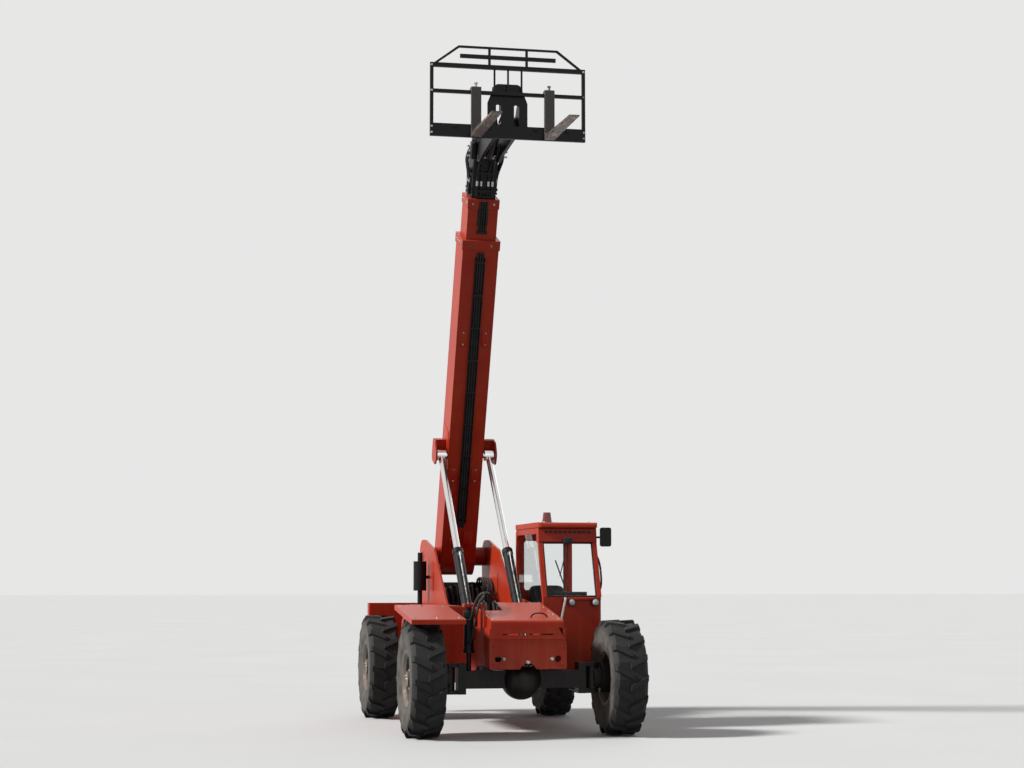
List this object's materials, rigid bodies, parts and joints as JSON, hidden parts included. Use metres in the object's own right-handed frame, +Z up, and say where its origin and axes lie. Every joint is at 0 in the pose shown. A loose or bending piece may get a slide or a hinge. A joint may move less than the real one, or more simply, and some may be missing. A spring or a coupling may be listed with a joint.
{
  "type": "telehandler",
  "caption": "Rough-terrain telehandler with a raised telescopic boom, pallet forks, an open side cab and wheels that steer at both axles.",
  "frame": {"origin": "on the ground, on the machine's centre line, midway between its foremost and rearmost points", "axes": "+Z up, -Y forward, +X to the machine's own left, which is the cab's side"},
  "size_m": [2.575, 5.03, 7.8396],
  "materials": {
    "body_paint": "weathered red-orange enamel",
    "black_paint": "satin black enamel",
    "fork_steel": "forged steel, black, worn on top",
    "pin_steel": "turned steel, greased",
    "cast_iron": "painted casting",
    "chrome": "hard chrome plate",
    "seat_vinyl": "black vinyl",
    "cab_plastic": "moulded plastic",
    "lens": "amber lens",
    "cab_glazing": "clear toughened glass",
    "rim_paint": "dusty dark enamel",
    "tyre": "dusty rubber"
  },
  "bodies": {
    "chassis": {"frame_right": "body_paint", "frame_left": "body_paint", "front_plate": "body_paint", "nose_deck": "body_paint", "frame_belly": "body_paint", "lift_base_pin": "pin_steel", "boom_pivot_pin": "pin_steel", "counterweight": "body_paint", "sway_cylinder": "black_paint", "front_fender": "body_paint", "engine_pod": "body_paint", "engine": "cast_iron", "exhaust": "black_paint", "cab_tub": "body_paint", "cab_frame": "body_paint", "drive_line": "black_paint", "valve_block": "black_paint", "cab_glass": "cab_glazing", "cab_step": "black_paint", "cab_roof": "body_paint", "seat": "seat_vinyl", "steering_column": "cab_plastic", "mirror": "black_paint", "beacon": "lens", "front_axle": "black_paint", "rear_axle": "black_paint"},
    "boom_outer": {"boom_outer": "body_paint", "hose_tray": "black_paint"},
    "boom_mid": {"boom_mid": "body_paint"},
    "boom_fly": {"boom_fly": "black_paint", "boom_head": "black_paint", "head_pins": "pin_steel"},
    "carriage": {"coupler": "black_paint", "carriage_frame": "black_paint", "load_guard": "black_paint", "fork_right": "fork_steel", "fork_left": "fork_steel"},
    "lift_barrels": {"lift_barrels": "black_paint"},
    "lift_rods": {"lift_rods": "chrome"},
    "tilt_barrel": {"tilt_barrel": "black_paint"},
    "tilt_rod": {"tilt_rod": "chrome"},
    "cab_door": {"cab_door": "body_paint"},
    "engine_hood": {"engine_hood": "body_paint"},
    "knuckle_front_left": {"knuckle_front_left": "black_paint"},
    "wheel_front_left": {"rim_front_left": "rim_paint", "tyre_front_left": "tyre"},
    "knuckle_front_right": {"knuckle_front_right": "black_paint"},
    "wheel_front_right": {"rim_front_right": "rim_paint", "tyre_front_right": "tyre"},
    "knuckle_rear_left": {"knuckle_rear_left": "black_paint"},
    "wheel_rear_left": {"rim_rear_left": "rim_paint", "tyre_rear_left": "tyre"},
    "knuckle_rear_right": {"knuckle_rear_right": "black_paint"},
    "wheel_rear_right": {"rim_rear_right": "rim_paint", "tyre_rear_right": "tyre"}
  },
  "joints": [
    {"name": "boom_lift", "type": "hinge", "parent": "chassis", "child": "boom_outer", "pos_m": [0, 2.265, 2], "axis": [-1, 0, 0], "range_deg": [-72, 2]},
    {"name": "boom_extend", "type": "slide", "parent": "boom_outer", "child": "boom_mid", "axis": [0, -0.3746, 0.9272], "range_m": [0, 3.4]},
    {"name": "fly_extend", "type": "slide", "parent": "boom_mid", "child": "boom_fly", "axis": [0, -0.3746, 0.9272], "range_m": [0, 3.4]},
    {"name": "fork_tilt", "type": "hinge", "parent": "boom_fly", "child": "carriage", "pos_m": [0, -0.92762, 6.9656], "axis": [1, 0, 0], "range_deg": [-85, 25]},
    {"name": "lift_barrel_swing", "type": "hinge", "parent": "chassis", "child": "lift_barrels", "pos_m": [0, -0.935, 0.72], "axis": [1, 0, 0], "range_deg": [-18.5, 1]},
    {"name": "lift_rod_slide", "type": "slide", "parent": "lift_barrels", "child": "lift_rods", "axis": [0, 0.696, 0.718], "range_m": [-1.56, 0.06]},
    {"name": "tilt_barrel_swing", "type": "hinge", "parent": "boom_fly", "child": "tilt_barrel", "pos_m": [0, -0.01711, 6.7942], "axis": [1, 0, 0], "range_deg": [-2, 5]},
    {"name": "tilt_rod_slide", "type": "slide", "parent": "tilt_barrel", "child": "tilt_rod", "axis": [0, -0.9384, 0.3455], "range_m": [-0.3, 0.1]},
    {"name": "cab_door_swing", "type": "hinge", "parent": "chassis", "child": "cab_door", "pos_m": [1.144, 0.345, 1.1], "axis": [0, 0, 1], "range_deg": [0, 95]},
    {"name": "engine_hood_lift", "type": "hinge", "parent": "chassis", "child": "engine_hood", "pos_m": [-0.69, 0.565, 1.4], "axis": [-1, 0, 0], "range_deg": [0, 60]},
    {"name": "steer_front_left", "type": "hinge", "parent": "chassis", "child": "knuckle_front_left", "pos_m": [0.8, -1.885, 0.63], "axis": [0, 0, 1], "range_deg": [-40, 40]},
    {"name": "spin_front_left", "type": "hinge", "parent": "knuckle_front_left", "child": "wheel_front_left", "pos_m": [1.1, -1.885, 0.63], "axis": [1, 0, 0], "continuous": true},
    {"name": "steer_front_right", "type": "hinge", "parent": "chassis", "child": "knuckle_front_right", "pos_m": [-0.8, -1.885, 0.63], "axis": [0, 0, 1], "range_deg": [-40, 40]},
    {"name": "spin_front_right", "type": "hinge", "parent": "knuckle_front_right", "child": "wheel_front_right", "pos_m": [-1.1, -1.885, 0.63], "axis": [1, 0, 0], "continuous": true},
    {"name": "steer_rear_left", "type": "hinge", "parent": "chassis", "child": "knuckle_rear_left", "pos_m": [0.8, 1.415, 0.63], "axis": [0, 0, 1], "range_deg": [-40, 40]},
    {"name": "spin_rear_left", "type": "hinge", "parent": "knuckle_rear_left", "child": "wheel_rear_left", "pos_m": [1.1, 1.415, 0.63], "axis": [1, 0, 0], "continuous": true},
    {"name": "steer_rear_right", "type": "hinge", "parent": "chassis", "child": "knuckle_rear_right", "pos_m": [-0.8, 1.415, 0.63], "axis": [0, 0, 1], "range_deg": [-40, 40]},
    {"name": "spin_rear_right", "type": "hinge", "parent": "knuckle_rear_right", "child": "wheel_rear_right", "pos_m": [-1.1, 1.415, 0.63], "axis": [1, 0, 0], "continuous": true}
  ],
  "couplings": [
    {"joint": "fly_extend", "follows": "boom_extend", "ratio": 1},
    {"joint": "lift_barrel_swing", "follows": "boom_lift", "ratio": 0.23474},
    {"joint": "lift_rod_slide", "follows": "boom_lift", "m_per_rad": 1.2176},
    {"joint": "tilt_barrel_swing", "follows": "fork_tilt", "ratio": -0.045},
    {"joint": "tilt_rod_slide", "follows": "fork_tilt", "m_per_rad": 0.19481},
    {"joint": "steer_front_right", "follows": "steer_front_left", "ratio": 1},
    {"joint": "steer_rear_right", "follows": "steer_rear_left", "ratio": 1}
  ]
}
